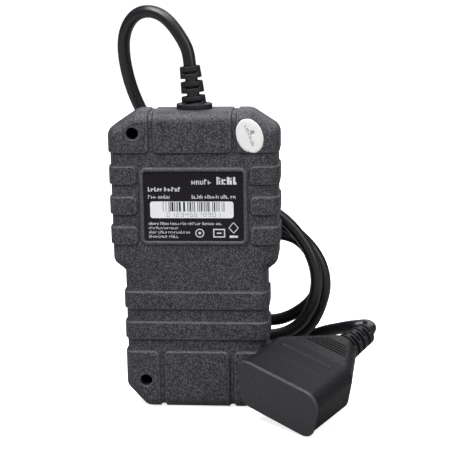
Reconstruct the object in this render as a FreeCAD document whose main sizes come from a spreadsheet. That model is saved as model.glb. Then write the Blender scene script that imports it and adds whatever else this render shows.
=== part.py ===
"""Handheld OBD code reader with a captive cable and a capped sixteen-pin diagnostic plug.

Millimetres, +Z up. The handset stands on its foot at z = 0 with its two shells meeting on the plane y = 0:
the ribbed rear shell faces -Y, and the display and keys face +Y. The plug has a frame of its own, with
X across its mating face, Y from that face towards the cable and Z up, and one placement carries it.
"""

import FreeCAD, Part
import math
import os
import re
import Sketcher
from FreeCAD import Placement, Rotation, Vector

doc = FreeCAD.newDocument("CodeReader")

# ---------------------------------------------------------------- driving dimensions

SIZES = {
    # handset outline
    "case_top": 118.0, "case_rise": 0.8, "case_depth": 11.15, "case_wall": 2.0,
    "upper_half": 33.0, "lower_half": 28.5, "top_flat_half": 22.3, "foot_flat_half": 20.4,
    "shoulder_z": 111.0, "waist_top_z": 58.9, "waist_low_z": 55.4, "foot_shoulder_z": 8.8,
    "corner_round": 4.6, "edge_round": 4.6, "waist_round": 1.5, "wrap_y": 5.5, "seam_depth": 0.5,
    "seam_half": 0.25, "seam_low_z": 2.5,
    # raised blocks and bands
    "upper_block_z": 102.3, "lower_block_z": 23.3, "upper_slot_x": 16.0, "lower_slot_x": 13.8,
    "slot_half": 1.1, "grip_inner_x": 22.0, "grip_low_z": 66.5, "grip_height": 6.9, "grip_pitch": 11.75,
    "band_low_z": 28.4, "band_height": 6.9, "band_pitch": 12.2, "block_round": 1.8,
    # rear label
    "label_half": 19.2, "label_low_z": 67.9, "label_high_z": 94.9, "label_thick": 0.35,
    "label_border": 1.4, "label_round": 1.1, "label_corner": 1.6, "label_sink": 0.25,
    "serial_left": 16.8, "serial_right": 15.4, "serial_low_z": 76.9, "serial_high_z": 83.4,
    "sticker_thick": 0.12,
    "seal_x": 22.0, "seal_z": 108.65, "seal_major": 6.9, "seal_minor": 5.1, "seal_tilt": 70.0,
    # screws and bosses
    "upper_screw_x": 22.95, "upper_screw_z": 109.7, "lower_screw_x": 20.3, "lower_screw_z": 11.5,
    "recess_rad": 2.4, "boss_rad": 3.6, "post_rad": 3.0, "head_rad": 2.1, "head_high": 1.5,
    "shank_rad": 0.9, "clear_rad": 1.3, "board_post_x": 21.9, "board_post_rad": 1.8,
    "board_screw_rad": 0.6, "board_head_rad": 1.4, "clamp_screw_x": 5.2,
    "saddle_half": 7.5, "saddle_low_z": 106.2, "saddle_high_z": 111.2, "clamp_thick": 4.0,
    "pilot_rad": 0.95, "screw_seat_y": -3.2, "screw_tip_y": 4.5, "pilot_end_y": 6.0,
    # display
    "lens_half": 24.0, "lens_low_z": 62.0, "lens_high_z": 99.0, "lens_thick": 1.2,
    "window_half": 20.5, "window_low_z": 65.5, "window_high_z": 95.5, "bezel_border": 2.2,
    "lens_round": 1.6, "frame_half": 23.6, "frame_low_z": 61.5, "frame_high_z": 98.8,
    "ribbon_half": 9.0, "ribbon_y": 2.0, "socket_low_z": 57.4, "frame_wall": 1.6,
    "glass_low_y": 5.0, "glass_high_y": 6.9, "backlight_low_y": 3.0, "frame_front_y": 7.0,
    # board and keypad
    "board_half": 23.8, "board_low_z": 18.2, "board_high_z": 103.4, "board_back_y": -1.0,
    "board_front_y": 0.6, "sheet_half": 19.6, "sheet_low_z": 19.2, "sheet_high_z": 56.0,
    "sheet_back_y": 1.3, "sheet_front_y": 2.2, "pad_top_y": 6.0, "pad_rad": 2.6,
    "dome_rad": 3.0, "dome_high": 0.3, "key_base_y": 6.9, "key_flange": 1.0, "key_flange_rim": 0.9,
    "key_top_y": 12.3, "key_gap": 0.25, "key_round": 0.5, "ok_rad": 5.2, "arrow_long": 12.0,
    "arrow_short": 6.6, "menu_long": 10.0, "menu_short": 5.4, "menu_x": 13.2, "menu_z": 47.6,
    "keypad_z": 34.5, "arrow_reach": 11.2,
    # cable and its two strain reliefs
    "cable_rad": 2.45, "cable_end_z": 105.0, "cable_plug_high_z": 101.2, "wire_rad": 0.55,
    "boot_length": 15.4, "boot_low_rad": 4.8, "boot_high_rad": 3.9, "boot_bore": 2.9, "boot_lean": 5.6,
    "boot_collar_bore": 3.4, "boot_flange_rad": 6.9, "boot_flange_high": 1.9, "boot_neck_rad": 4.2,
    "boot_inner_rad": 6.0, "web_half": 2.6, "strip_half": 1.0, "notch_deep": 8.0, "notch_wide": 20.0,
    "slit_high": 0.9, "gap_high": 1.3,
    # diagnostic plug
    "plug_x": 33.0, "plug_y": -34.8, "plug_z": 13.3, "plug_yaw": -35.2, "plug_pitch": 12.2,
    "plug_roll": 13.9, "face_top_half": 19.6, "face_low_half": 16.6, "face_half_high": 9.95,
    "cap_flange": 1.3, "cap_overhang": 0.5, "cap_ring": 4.0, "cap_gap": 0.15, "cap_wall": 1.2,
    "shroud_wall": 1.3, "shroud_end": 20.9, "cavity_end": 16.0, "face_round": 5.2,
    "mark_half": 12.0, "mark_start": 11.2, "mark_end": 17.6, "mark_deep": 0.4,
    "shell_mid": 31.5, "shell_mid_half": 12.4, "shell_mid_high": 8.0, "shell_end": 40.5,
    "shell_end_half": 6.4, "shell_end_high": 6.1, "groove_first": 27.2, "groove_pitch": 1.65,
    "groove_wide": 0.95, "groove_deep": 0.8, "groove_left": -8.0, "groove_right": 10.0, "groove_step": 1.9,
    "groove_lead": 1.0, "groove_drop": 1.16, "groove_fall": 0.31, "shell_wall": 1.6,
    "carrier_start": 9.0, "carrier_end": 19.6, "carrier_half": 15.0, "carrier_high": 6.2,
    "pin_pitch": 3.9, "pin_row": 4.1, "pin_wide": 1.3, "pin_thick": 0.7, "pin_start": 6.2, "pin_end": 21.4,
    "plug_boot_length": 14.5, "plug_boot_low_rad": 5.7, "plug_boot_high_rad": 4.5,
}

sheet = doc.addObject("Spreadsheet::Sheet", "Sizes")
for row, (alias, value) in enumerate(SIZES.items(), start=1):
    sheet.set(f"A{row}", alias)
    sheet.set(f"B{row}", str(value))
    sheet.setAlias(f"B{row}", alias)
doc.recompute()


def bound(expression):
    """The expression with every alias written as the sheet's own cell."""
    def cell(found):
        return f"Sizes.{found.group(0)}" if found.group(0) in SIZES else found.group(0)
    return re.sub(r"[a-z][a-z_]+", cell, str(expression))


def size(expression):
    """The value of an expression in aliases."""
    return float(sheet.evalExpression(bound(expression)))


# ---------------------------------------------------------------- sketch and body helpers

def new_body(label):
    body = doc.addObject("PartDesign::Body", label)
    body.Label = label
    return body


def origin_plane(body, role):
    return next(f for f in body.Origin.OriginFeatures if f.Role == role)


def new_sketch(body, role, offset="0"):
    """A sketch on one of the body's origin planes, moved along that plane's normal by offset."""
    sketch = body.newObject("Sketcher::SketchObject", "Sketch")
    sketch.AttachmentSupport = [(origin_plane(body, role), "")]
    sketch.MapMode = "FlatFace"
    sketch.setExpression("AttachmentOffset.Base.z", bound(offset))
    return sketch


def pin_point(sketch, geometry, vertex, across, up):
    """Holds one vertex at two expressions."""
    for kind, expression in (("DistanceX", across), ("DistanceY", up)):
        value = size(expression)
        index = sketch.addConstraint(Sketcher.Constraint(kind, -1, 1, geometry, vertex, value))
        sketch.setExpression(f"Constraints[{index}]", bound(expression))


def corner_arc(before, corner, after, radius):
    """The arc that rounds one corner, and whether it turns against the outline."""
    inward = (before - corner).normalize()
    onward = (after - corner).normalize()
    half = inward.getAngle(onward) / 2
    centre = corner + (inward + onward).normalize() * (radius / math.sin(half))
    ends = [corner + side * (radius / math.tan(half)) for side in (inward, onward)]
    hollow = onward.cross(inward).z < 0
    if hollow:
        ends.reverse()
    start, stop = (math.atan2(*reversed((end - centre)[:2])) for end in ends)
    return Part.ArcOfCircle(Part.Circle(centre, Vector(0, 0, 1), radius), start, stop), hollow


def outline(sketch, points, radius=None):
    """A closed anticlockwise outline; radius rounds every corner that carries no radius of its own."""
    spots = [Vector(size(x), size(y), 0) for x, y, *_ in points]
    count = len(points)
    guide = sketch.GeometryCount
    for i in range(count):
        sketch.addGeometry(Part.LineSegment(spots[i], spots[(i + 1) % count]), radius is not None)
    for i in range(count):
        sketch.addConstraint(Sketcher.Constraint("Coincident", guide + i, 2, guide + (i + 1) % count, 1))
        pin_point(sketch, guide + i, 1, *points[i][:2])
    if radius is None:
        return
    radii = [spot[2] if len(spot) > 2 else radius for spot in points]
    arcs = [corner_arc(spots[i - 1], spots[i], spots[(i + 1) % count], size(radii[i]))
            for i in range(count)]
    first = sketch.GeometryCount
    for arc, _ in arcs:
        sketch.addGeometry(arc, False)
    for i in range(count):
        leaving = arcs[i][0].StartPoint if arcs[i][1] else arcs[i][0].EndPoint
        following, hollow = arcs[(i + 1) % count]
        arriving = following.EndPoint if hollow else following.StartPoint
        sketch.addGeometry(Part.LineSegment(leaving, arriving), False)
    for i in range(count):
        line = first + count + i
        after = (i + 1) % count
        sketch.addConstraint(Sketcher.Constraint("Tangent", first + i, 1 if arcs[i][1] else 2, line, 1))
        arriving_end = 2 if arcs[after][1] else 1
        sketch.addConstraint(Sketcher.Constraint("Tangent", line, 2, first + after, arriving_end))
        sketch.addConstraint(Sketcher.Constraint("PointOnObject", line, 1, guide + i))
        sketch.addConstraint(Sketcher.Constraint("PointOnObject", line, 2, guide + i))
        held = sketch.addConstraint(Sketcher.Constraint("Radius", first + i, size(radii[i])))
        sketch.setExpression(f"Constraints[{held}]", bound(radii[i]))


def circle(sketch, x, y, radius):
    centre = Vector(size(x), size(y), 0)
    index = sketch.addGeometry(Part.Circle(centre, Vector(0, 0, 1), size(radius)), False)
    pin_point(sketch, index, 3, x, y)
    held = sketch.addConstraint(Sketcher.Constraint("Radius", index, size(radius)))
    sketch.setExpression(f"Constraints[{held}]", bound(radius))


def slab(body, draw, low_y, high_y):
    """Adds material between two y values: draw puts the loops on a sketch in the XZ plane."""
    sketch = new_sketch(body, "XZ_Plane", f"-({high_y})")
    draw(sketch)
    pad = body.newObject("PartDesign::Pad", "Pad")
    pad.Profile = sketch
    pad.setExpression("Length", bound(f"({high_y}) - ({low_y})"))
    doc.recompute()
    return pad


def cut_slab(body, draw, low_y, high_y):
    """Removes material between two y values, and stops if nothing was removed."""
    before = body.Shape.Volume
    sketch = new_sketch(body, "XZ_Plane", f"-({low_y})")
    draw(sketch)
    pocket = body.newObject("PartDesign::Pocket", "Pocket")
    pocket.Profile = sketch
    pocket.setExpression("Length", bound(f"({high_y}) - ({low_y})"))
    doc.recompute()
    if not body.Shape.Volume < before - 1e-6:
        raise RuntimeError(f"a pocket in {body.Label} cut nothing")
    return pocket


def rectangles(*boxes):
    """Draws rectangles, each low x, high x, low z, high z and, if rounded, a corner radius."""
    def draw(sketch):
        for x0, x1, z0, z1, *corner in boxes:
            outline(sketch, [(x0, z0), (x1, z0), (x1, z1), (x0, z1)], *corner)
    return draw


def circles(*spots):
    def draw(sketch):
        for spot in spots:
            circle(sketch, *spot)
    return draw


def block(label, draw, low_y, high_y):
    """A body that is one slab."""
    body = new_body(label)
    slab(body, draw, low_y, high_y)
    return body


def boolean(kind, label, base, tool):
    result = doc.addObject(f"Part::{kind}", label)
    result.Base = base
    result.Tool = tool
    result.Label = label
    doc.recompute()
    return result


def cut(label, base, tool):
    return boolean("Cut", label, base, tool)


def fuse(label, base, tool):
    return boolean("Fuse", label, base, tool)


def common(label, base, tool):
    return boolean("Common", label, base, tool)


def group(label, members):
    """Several separate solids as one sub-part."""
    compound = doc.addObject("Part::Compound", label)
    compound.Links = members
    compound.Label = label
    doc.recompute()
    return compound


def raw(label, shape):
    feature = doc.addObject("Part::Feature", label)
    feature.Shape = shape
    feature.Label = label
    return feature


def mirrored_x(boxes):
    """Each box and its mirror across the plane x = 0."""
    return [b for box in boxes for b in (box, (f"-({box[1]})", f"-({box[0]})") + tuple(box[2:]))]


PARTS = []


def part(feature, placement=None):
    """Marks a finished sub-part, and moves it if it has a placement."""
    if placement is not None:
        feature.Placement = placement
    PARTS.append(feature)
    return feature


# ---------------------------------------------------------------- handset shells

def case_points(inset):
    """The handset's outline in from its raised surfaces by inset; each corner carries its own rounding."""
    right = [
        (f"foot_flat_half - 0.4 * ({inset})", inset),
        (f"lower_half - ({inset})", f"foot_shoulder_z + 0.4 * ({inset})"),
        (f"lower_half - ({inset})", f"waist_low_z + 0.4 * ({inset})", "waist_round"),
        (f"upper_half - ({inset})", f"waist_top_z + 0.4 * ({inset})"),
        (f"upper_half - ({inset})", f"shoulder_z - 0.4 * ({inset})"),
        (f"top_flat_half - 0.4 * ({inset})", f"case_top - ({inset})"),
    ]
    left = [(f"-({x})", *rest) for x, *rest in reversed(right)]
    return right + left


def round_rims(body, planes, radius):
    """Rounds every edge of a body that lies wholly on one of the planes y = expression."""
    heights = [size(plane) for plane in planes]
    base = body.Tip
    names = []
    for index, edge in enumerate(base.Shape.Edges, start=1):
        ends = [edge.valueAt(edge.FirstParameter).y, edge.valueAt(edge.LastParameter).y]
        if any(max(abs(end - height) for end in ends) < 1e-4 for height in heights):
            names.append(f"Edge{index}")
    fillet = body.newObject("PartDesign::Fillet", "Rim")
    fillet.Base = (base, names)
    fillet.setExpression("Radius", bound(radius))
    doc.recompute()
    if "Invalid" in fillet.State:
        raise RuntimeError(f"the rims of {body.Label} could not be rounded")


def case_solid(label, inset):
    """A full-depth solid of the handset, in from its raised surfaces by inset."""
    body = new_body(label)
    depth = f"case_depth - ({inset})"
    slab(body, lambda sketch: outline(sketch, case_points(inset), f"corner_round - 0.6 * ({inset})"),
         f"-({depth})", depth)
    round_rims(body, (f"-({depth})", depth), f"edge_round - ({inset})")
    return body


def upper_blocks():
    """The three raised blocks at the top end and the three pairs of grip bands below them."""
    centre = ("-(upper_slot_x - slot_half)", "upper_slot_x - slot_half", "upper_block_z", "case_top + 3",
              "block_round")
    corners = mirrored_x([("upper_slot_x + slot_half", "upper_half + 3", "upper_block_z", "case_top + 3",
                           "block_round")])
    bands = mirrored_x([("grip_inner_x", "upper_half + 3", f"grip_low_z + {i} * grip_pitch",
                         f"grip_low_z + {i} * grip_pitch + grip_height", "block_round") for i in range(3)])
    return [centre] + corners + bands


def lower_blocks():
    """The three raised blocks at the foot and the two full-width bands above them."""
    centre = ("-(lower_slot_x - slot_half)", "lower_slot_x - slot_half", "-3", "lower_block_z",
              "block_round")
    corners = mirrored_x([("lower_slot_x + slot_half", "lower_half + 3", "-3", "lower_block_z",
                           "block_round")])
    bands = [("-(lower_half + 3)", "lower_half + 3", f"band_low_z + {i} * band_pitch",
              f"band_low_z + {i} * band_pitch + band_height", "block_round") for i in range(2)]
    return [centre] + corners + bands


def half_case(name, rear):
    """One shell without its openings: core, raised blocks, hollow, seam groove and its half of the case."""
    core = case_solid(f"{name}_core", "case_rise")
    proud = case_solid(f"{name}_proud", "0")
    low_y, high_y = ("-(case_depth + 1)", "0") if rear else ("0", "wrap_y")
    mask = block(f"{name}_mask_upper", rectangles(*upper_blocks()), low_y, high_y)
    mask_low = block(f"{name}_mask_lower", rectangles(*lower_blocks()), low_y, high_y)
    blocks = common(f"{name}_blocks", proud, fuse(f"{name}_masks", mask, mask_low))
    whole = fuse(f"{name}_whole", core, blocks)
    hollow = cut(f"{name}_hollow", whole, case_solid(f"{name}_cavity", "case_rise + case_wall"))
    keep = block(f"{name}_half", rectangles(("-(upper_half + 5)", "upper_half + 5", "-5", "case_top + 5")),
                 "-(case_depth + 2)" if rear else "0", "0" if rear else "case_depth + 2")
    return common(f"{name}_shell", hollow, keep)


def seam_ring(name):
    """The shallow groove where the two shells meet, round the case from just above the foot."""
    ring = new_body(name)
    slab(ring, rectangles(("-(upper_half + 5)", "upper_half + 5", "seam_low_z", "case_top + 5")),
         "-seam_half", "seam_half")
    inner = case_points("case_rise + seam_depth")
    cut_slab(ring, lambda sketch: outline(sketch, inner, "corner_round - case_rise"),
             "-(seam_half + 1)", "seam_half + 1")
    return ring


SCREW_SPOTS = [("-upper_screw_x", "upper_screw_z"), ("upper_screw_x", "upper_screw_z"),
               ("-lower_screw_x", "lower_screw_z"), ("lower_screw_x", "lower_screw_z")]
BOARD_SPOTS = [("-board_post_x", "board_low_z + 2.3"), ("board_post_x", "board_low_z + 2.3"),
               ("-board_post_x", "board_high_z - 1.9"), ("board_post_x", "board_high_z - 1.9")]


def discs(spots, radius):
    """Draws one circle of the given radius at each spot."""
    return circles(*[(x, z, radius) for x, z in spots])


def back_cover():
    shell = half_case("rear", True)
    bosses = block("rear_bosses", discs(SCREW_SPOTS, "boss_rad"),
                   "-(case_depth - case_rise - case_wall / 2)", "0")
    built = fuse("rear_built", shell, bosses)
    border = new_body("rear_border")
    slab(border, lambda sketch: outline(sketch, label_frame_points()), "-(case_depth - 0.1)",
         "-(case_depth - case_rise - 0.5)")
    built = fuse("rear_framed", built, border)
    openings = block("rear_recesses", discs(SCREW_SPOTS, "recess_rad"), "-(case_depth + 1)", "screw_seat_y")
    slab(openings, discs(SCREW_SPOTS, "clear_rad"), "screw_seat_y - 0.5", "1")
    pocket = block("rear_label_pocket", rectangles(label_box("0.1")), "-(case_depth + 1)",
                   "-(case_depth - case_rise - label_sink)")
    opened = cut("rear_opened", built, openings)
    opened = cut("rear_pocketed", opened, pocket)
    opened = cut("rear_seamed", opened, seam_ring("rear_seam"))
    return cut("back_cover", opened, cable_way("rear_way"))


def label_box(grow):
    """The label's outline, larger all round by grow."""
    return (f"-(label_half + {grow})", f"label_half + {grow}", f"label_low_z - {grow}",
            f"label_high_z + {grow}", "label_round")


def label_frame_points():
    """The raised border of the label, an octagon with short corner cuts."""
    half = "(label_half + label_border)"
    low = "(label_low_z - label_border)"
    high = "(label_high_z + label_border)"
    cut_off = "label_corner"
    right = [(f"{half} - {cut_off}", low), (half, f"{low} + {cut_off}"),
             (half, f"{high} - {cut_off}"), (f"{half} - {cut_off}", high)]
    return right + [(f"-({x})", z) for x, z in reversed(right)]


def cable_way(name):
    """The round way through the top end for the neck of the cable's boot."""
    way = doc.addObject("Part::Cylinder", name)
    way.setExpression("Radius", bound("boot_neck_rad + 0.1"))
    way.setExpression("Height", bound("case_rise + case_wall + 4"))
    way.setExpression("Placement.Base.z", bound("case_top - case_rise - case_wall - 2"))
    return way


LYING = ("arrow_long / 2", "arrow_short / 2", "arrow_short / 2 - 0.05")
STANDING = ("arrow_short / 2", "arrow_long / 2", "arrow_short / 2 - 0.05")
MENU = ("menu_long / 2", "menu_short / 2", "menu_short / 2 - 0.05")
KEYS = {
    # name: centre x, centre z, half width, half height, corner radius
    "key_ok": ("0", "keypad_z", "ok_rad", "ok_rad", "ok_rad - 0.05"),
    "key_up": ("0", "keypad_z + arrow_reach", *LYING),
    "key_down": ("0", "keypad_z - arrow_reach", *LYING),
    "key_left": ("arrow_reach", "keypad_z", *STANDING),
    "key_right": ("-arrow_reach", "keypad_z", *STANDING),
    "key_back": ("menu_x", "menu_z", *MENU),
    "key_help": ("-menu_x", "menu_z", *MENU),
}
CLAMP_SPOTS = [("-clamp_screw_x", "(saddle_low_z + saddle_high_z) / 2"),
               ("clamp_screw_x", "(saddle_low_z + saddle_high_z) / 2")]


def key_box(name, grow):
    """A key's outline, larger all round by grow."""
    x, z, half_x, half_z, corner = KEYS[name]
    return (f"{x} - ({half_x}) - ({grow})", f"{x} + {half_x} + {grow}", f"{z} - ({half_z}) - ({grow})",
            f"{z} + {half_z} + {grow}", f"{corner} + {grow}")


def key(name):
    """One key cap: a flange that the front cover holds in, and the pushed button above it."""
    body = new_body(name)
    slab(body, rectangles(key_box(name, "key_flange_rim")), "key_base_y", "key_base_y + key_flange")
    slab(body, rectangles(key_box(name, "0")), "key_base_y + key_flange / 2", "key_top_y")
    round_rims(body, ("key_top_y",), "key_round")
    return body


def cable_channel(name):
    """The round channel that the cable's jacket is clamped in."""
    channel = doc.addObject("Part::Cylinder", name)
    channel.setExpression("Radius", bound("cable_rad + 0.05"))
    channel.setExpression("Height", bound("saddle_high_z - saddle_low_z + 2"))
    channel.setExpression("Placement.Base.z", bound("saddle_low_z - 1"))
    return channel


def cable_clamp():
    """The bar that presses the jacket into the saddle of the front cover."""
    outer = ("-saddle_half", "saddle_half", "saddle_low_z", "saddle_high_z", "1")
    clamp = block("clamp_bar", rectangles(outer), "-clamp_thick", "0")
    cut_slab(clamp, discs(CLAMP_SPOTS, "board_screw_rad + 0.1"), "-clamp_thick - 1", "1")
    return cut("cable_clamp", clamp, cable_channel("clamp_channel"))


def window_box(border):
    """The display window's outline, larger all round by border."""
    return (f"-(window_half + {border})", f"window_half + {border}", f"window_low_z - {border}",
            f"window_high_z + {border}", "lens_round")


def lens_box(grow):
    return (f"-(lens_half + {grow})", f"lens_half + {grow}", f"lens_low_z - {grow}",
            f"lens_high_z + {grow}", f"lens_round + {grow}")


def front_cover():
    shell = half_case("front", False)
    inside = "case_depth - case_rise - case_wall / 2"
    saddle_box = ("-saddle_half", "saddle_half", "saddle_low_z", "saddle_high_z")
    bezel = block("front_bezel", rectangles(lens_box("bezel_border")), "case_depth - case_rise - 0.5",
                  "case_depth")
    posts = block("front_posts", discs(SCREW_SPOTS, "post_rad"), "0", inside)
    board_posts = block("front_board_posts", discs(BOARD_SPOTS, "board_post_rad"), "board_front_y", inside)
    saddle = block("front_saddle", rectangles(saddle_box), "0", inside)
    built = fuse("front_bezelled", shell, bezel)
    for index, extra in enumerate((posts, board_posts, saddle), start=1):
        built = fuse(f"front_built_{index}", built, extra)
    openings = block("front_recess", rectangles(lens_box("0.1")), "case_depth - lens_thick",
                     "case_depth + 1")
    slab(openings, rectangles(window_box("0")), "case_depth - case_rise - case_wall - 1", "case_depth")
    holes = block("front_key_holes", rectangles(*[key_box(name, "key_gap") for name in KEYS]),
                  "case_depth - case_rise - case_wall - 1", "case_depth + 1")
    pilots = block("front_pilots", discs(SCREW_SPOTS, "pilot_rad"), "-1", "pilot_end_y")
    small = "board_screw_rad + 0.05"
    board_pilots = block("front_board_pilots", discs(BOARD_SPOTS, small), "0", "pilot_end_y")
    clamp_pilots = block("front_clamp_pilots", discs(CLAMP_SPOTS, small), "-1", "pilot_end_y")
    tools = (openings, holes, pilots, board_pilots, clamp_pilots, cable_channel("front_channel"),
             seam_ring("front_seam"))
    for index, tool in enumerate(tools, start=1):
        built = cut(f"front_opened_{index}", built, tool)
    return cut("front_cover", built, cable_way("front_way"))


def screw(name, x, z, seat_y, tip_y, head_rad, head_high, shank_rad):
    """A pan-head screw pointing along +Y from its seat, with a cross recess in its head."""
    body = new_body(name)
    slab(body, circles((x, z, head_rad)), f"{seat_y} - {head_high}", seat_y)
    slab(body, circles((x, z, shank_rad)), f"{seat_y} - {head_high} / 2", tip_y)
    arm = f"{head_rad} * 0.6"
    thin = f"{head_rad} * 0.14"
    deep = f"{seat_y} - {head_high} / 2"
    cut_slab(body, rectangles((f"{x} - {arm}", f"{x} + {arm}", f"{z} - {thin}", f"{z} + {thin}")),
             f"{seat_y} - {head_high} - 1", deep)
    cut_slab(body, rectangles((f"{x} - {thin}", f"{x} + {thin}", f"{z} - {arm}", f"{z} + {arm}")),
             f"{seat_y} - {head_high} - 1", deep)
    return body


def screws(label, spots, *sizes):
    """Identical screws, one at each spot, as one group."""
    return group(label, [screw(f"{label}_{i}", x, z, *sizes) for i, (x, z) in enumerate(spots, start=1)])


# ---------------------------------------------------------------- display, board and keypad

def ring(label, outer, inner, low_y, high_y):
    """A flat frame between two rectangular outlines."""
    body = block(label, rectangles(outer), low_y, high_y)
    cut_slab(body, rectangles(inner), f"({low_y}) - 1", f"({high_y}) + 1")
    return body


def frame_box(inset):
    return (f"-(frame_half - ({inset}))", f"frame_half - ({inset})", f"frame_low_z + {inset}",
            f"frame_high_z - ({inset})")


def lcd_frame():
    """The module's frame, with a slot low in it for the ribbon."""
    body = ring("lcd_frame", frame_box("0"), frame_box("frame_wall"), "board_front_y", "frame_front_y")
    cut_slab(body, rectangles(("-ribbon_half - 0.4", "ribbon_half + 0.4", "frame_low_z - 1",
                               "frame_low_z + frame_wall + 1")), "ribbon_y - 0.2", "ribbon_y + 0.6")
    return body


def main_board():
    outer = ("-board_half", "board_half", "board_low_z", "board_high_z", "1")
    body = block("main_board", rectangles(outer), "board_back_y", "board_front_y")
    cut_slab(body, discs(BOARD_SPOTS, "board_screw_rad + 0.1"), "board_back_y - 1", "board_front_y + 1")
    return body


def keypad_sheet():
    """The silicone sheet: a web, one soft pad under every key and four feet that stand on the board."""
    web = ("-sheet_half", "sheet_half", "sheet_low_z", "sheet_high_z", "2")
    body = block("keypad_sheet", rectangles(web), "sheet_back_y", "sheet_front_y")
    pads = [(KEYS[name][0], KEYS[name][1]) for name in KEYS]
    slab(body, discs(pads, "pad_rad"), "sheet_front_y - 0.3", "pad_top_y")
    feet = [(side + "(sheet_half - 2)", z) for side in ("-", "")
            for z in ("sheet_low_z + 2", "sheet_high_z - 2")]
    slab(body, discs(feet, "1.2"), "board_front_y", "sheet_front_y - 0.3")
    return body


def boxes(label, spots, low_y, high_y):
    """Separate blocks of one kind, each low x, high x, low z, high z."""
    return group(label, [block(f"{label}_{i}", rectangles(spot), low_y, high_y)
                         for i, spot in enumerate(spots, start=1)])


def pegs(label, spots, radius, low_y, high_y):
    """Separate round pieces of one kind, one at each spot."""
    return group(label, [block(f"{label}_{i}", circles((x, z, radius)), low_y, high_y)
                         for i, (x, z) in enumerate(spots, start=1)])


def display_parts():
    part(block("front_lens", rectangles(lens_box("0")), "case_depth - lens_thick", "case_depth - 0.05"))
    part(ring("lens_gasket", window_box("2"), window_box("0.5"), "frame_front_y",
              "case_depth - case_rise - case_wall"))
    part(lcd_frame())
    part(block("lcd_glass", rectangles(frame_box("frame_wall + 0.1")), "glass_low_y", "glass_high_y"))
    part(block("lcd_backlight", rectangles(frame_box("frame_wall + 0.1")), "backlight_low_y",
               "glass_low_y"))
    part(block("lcd_ribbon", rectangles(("-ribbon_half", "ribbon_half", "socket_low_z + 0.6",
                                         "frame_low_z + frame_wall + 4")), "ribbon_y", "ribbon_y + 0.25"))
    part(block("ribbon_socket", rectangles(("-ribbon_half - 1", "ribbon_half + 1", "socket_low_z",
                                            "frame_low_z - 0.6")), "board_front_y", "ribbon_y"))


def board_parts():
    part(main_board())
    under = "board_back_y"
    part(block("processor_chip", rectangles(("-6", "6", "52", "64")), f"{under} - 1.5", under))
    part(boxes("transceiver_chips", [(x, f"{x} + 5", "78", "86") for x in ("-16", "-4", "8")],
               f"{under} - 1.6", under))
    part(block("memory_chip", rectangles(("9", "15", "54", "60")), f"{under} - 1.3", under))
    part(block("crystal", rectangles(("-16", "-8.5", "55", "59", "1.9")), f"{under} - 3.4", under))
    part(pegs("capacitors", [("-17", "70"), ("-17", "42"), ("17", "70")], "2.6", f"{under} - 5.2", under))
    part(pegs("buzzer", [("12", "38")], "4.6", f"{under} - 4.2", under))
    part(block("cable_header", rectangles(("-8", "8", "94", "99")), f"{under} - 4.4", under))
    part(pegs("snap_domes", [(KEYS[name][0], KEYS[name][1]) for name in KEYS], "dome_rad", "board_front_y",
              "board_front_y + dome_high"))
    part(keypad_sheet())


# ---------------------------------------------------------------- cable and strain reliefs

CABLE_POINTS = [
    # up out of the handset and through its boot
    (0, 0, 105), (0, 0, 112), (0, 0, 118), (-0.45, 0, 124), (-1.41, 0, 133.8), (-2.3, 0, 140.1),
    # the arch over the top and down behind the handset
    (-5.2, 0.5, 145.9), (-8.3, 1.2, 150.1), (-13.2, 2.6, 153.9), (-18.1, 4.2, 154.9), (-22.4, 6.2, 153.6),
    (-27.7, 10.2, 146.8), (-29, 12.8, 140.9), (-28.8, 15.2, 133.2), (-24.9, 17.4, 118.4), (-14, 17.5, 101),
    (0, 17, 88), (17, 17, 79.5),
    # first turn of the coil, nearest the handset
    (32.1, 17, 71.8), (37.1, 17, 67), (41.1, 17, 61.6), (45, 17, 53.3), (46.3, 17, 44.9), (45.2, 17, 37.8),
    (41.9, 17, 30.2), (35.9, 17, 24.6), (24, 17, 22.5), (13, 17.6, 28.5), (7.5, 18.6, 39), (8.5, 19.8, 51),
    (15, 20.8, 61), (25, 21.8, 67.3),
    # second turn, the widest
    (32.4, 22.1, 67.2), (38.4, 22.1, 63.8), (43.6, 22.1, 58.6), (47.5, 22.1, 52.4), (49.4, 22.1, 45.8),
    (49.6, 22.1, 41.2), (48.2, 22.1, 34.7), (45.2, 22.1, 27.7), (39.4, 22.1, 21.6), (28, 22.1, 20.5),
    (17, 22.4, 24.5), (10, 23.5, 33.5), (9, 25, 45), (13, 26.3, 55.5), (22, 27, 62.3),
    # third turn, farthest back
    (32.2, 27.2, 62.4), (37.9, 27.2, 60.4), (42.9, 27.2, 55.4), (46.2, 27.2, 48.7), (46.9, 27.2, 41.6),
    (44.4, 27.2, 35.2), (39.5, 27.2, 30.4), (33.4, 27.2, 27), (27.2, 27.3, 25.7), (16, 27.5, 27.2),
    # under the coil, to the right and round into the rear of the plug's boot
    (8, 27.6, 26), (4.2, 27.4, 20.5), (7.5, 27.2, 14.6), (15, 27, 13), (27, 27.1, 14.6), (36, 27.3, 16.8),
    (43, 27.3, 18.7), (50, 25.5, 21.6), (56, 21, 24.2), (60, 17.6, 26), (63.1, 15.4, 27),
    (65.9, 14.9, 27.4), (68, 12.1, 27.4),
]
CABLE_STRETCHES = 6


def round_sweep(curve, radius):
    """A round solid along a curve."""
    start = curve.FirstParameter
    section = Part.Wire(Part.Circle(curve.value(start), curve.tangent(start)[0], radius).toShape())
    return Part.Wire(curve.toShape()).makePipeShell([section], True, False)


def plug_place():
    """Where the plug's own frame sits beside the handset."""
    return Placement(Vector(size("plug_x"), size("plug_y"), size("plug_z")),
                     Rotation(size("plug_yaw"), size("plug_pitch"), size("plug_roll")))


def plug_axis_point(reach):
    """A point on the plug's own Y axis, in the handset's frame."""
    return plug_place().multVec(Vector(0, reach, 0))


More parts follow.
